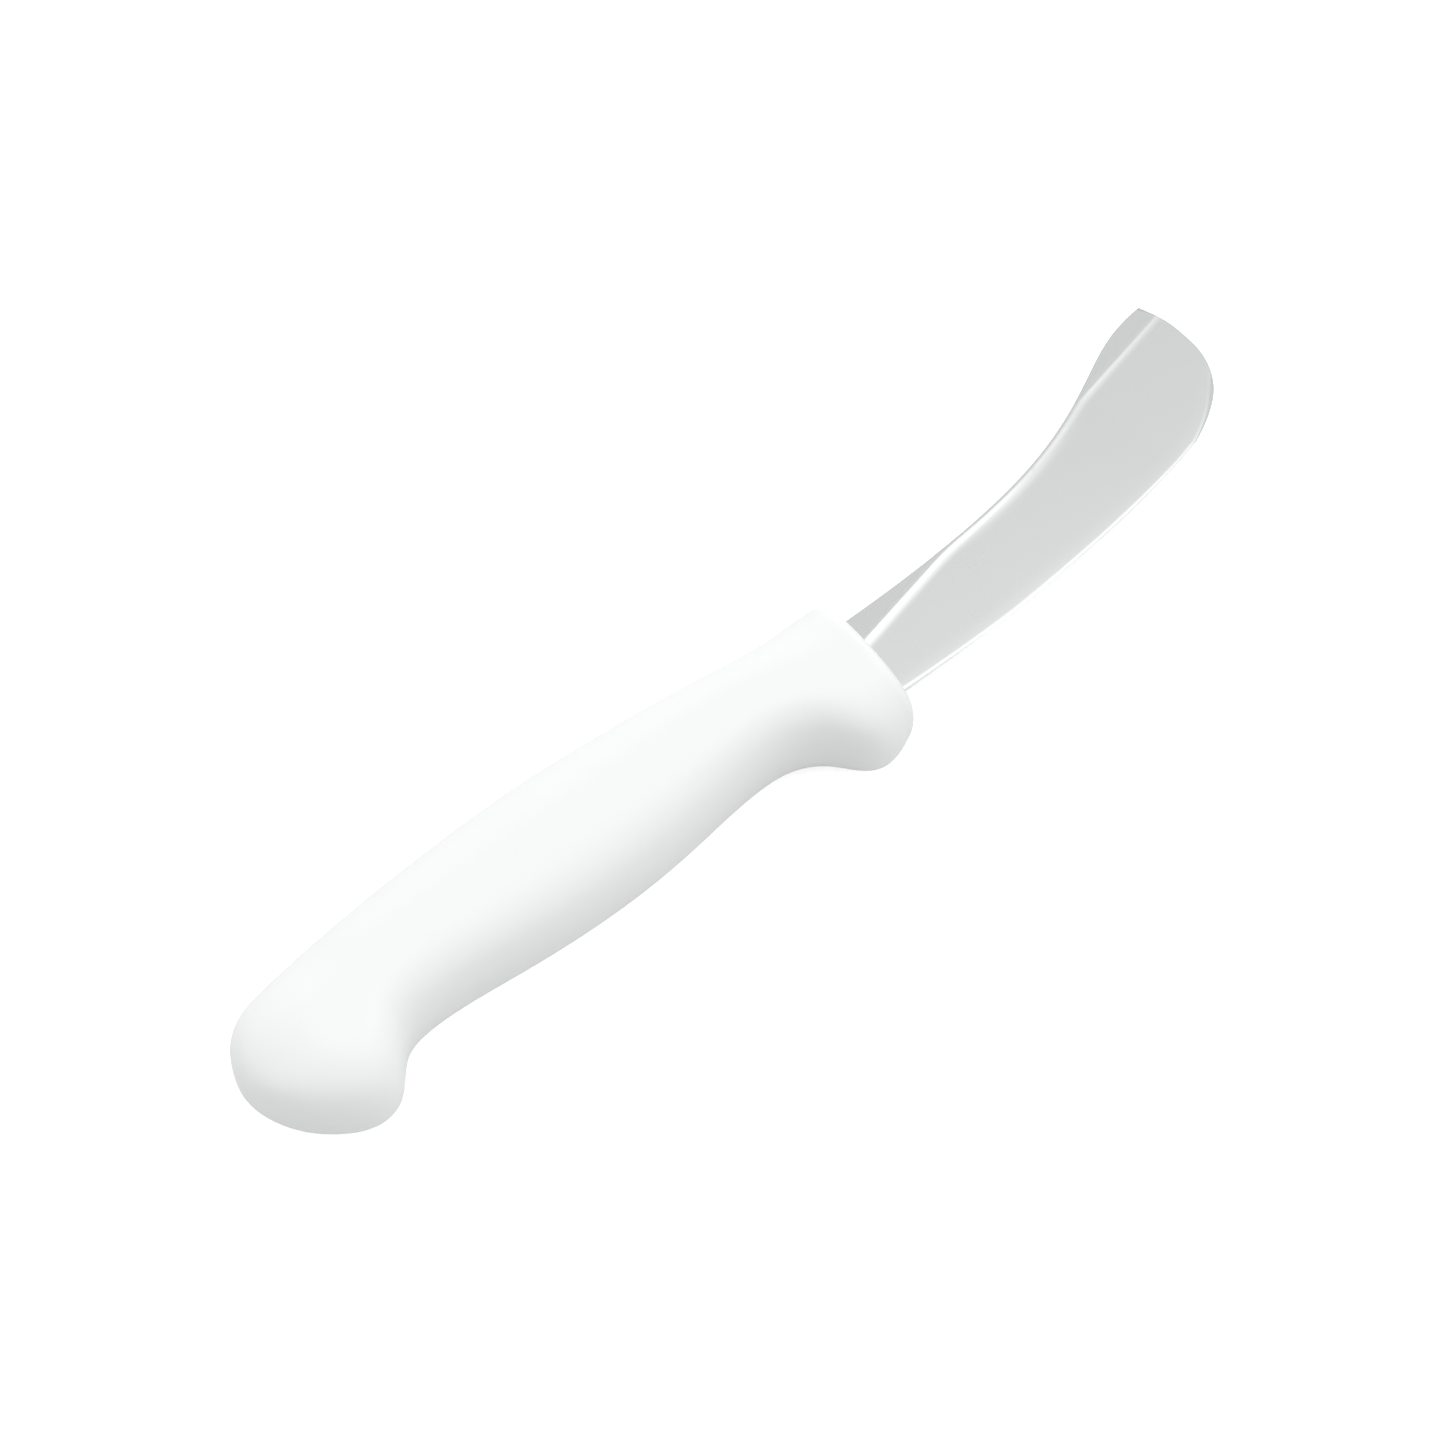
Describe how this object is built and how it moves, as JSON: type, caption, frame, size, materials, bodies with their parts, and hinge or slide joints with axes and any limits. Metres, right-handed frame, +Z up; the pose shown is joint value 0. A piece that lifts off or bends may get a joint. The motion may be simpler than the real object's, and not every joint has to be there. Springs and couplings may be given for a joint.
{
  "type": "palette knife",
  "caption": "Short hand knife with a broad, flat, upswept steel blade and a moulded plastic handle with a finger guard.",
  "frame": {"origin": "middle of the box round the knife, on the surface it lies on", "axes": "+X from the butt to the tip, +Y towards the spine of the blade, +Z up through the knife's thickness"},
  "size_m": [0.2118, 0.0436, 0.018],
  "materials": {
    "steel": "satin",
    "white_plastic": "satin"
  },
  "bodies": {
    "root": {"blade": "steel", "handle": "white_plastic"}
  },
  "joints": []
}
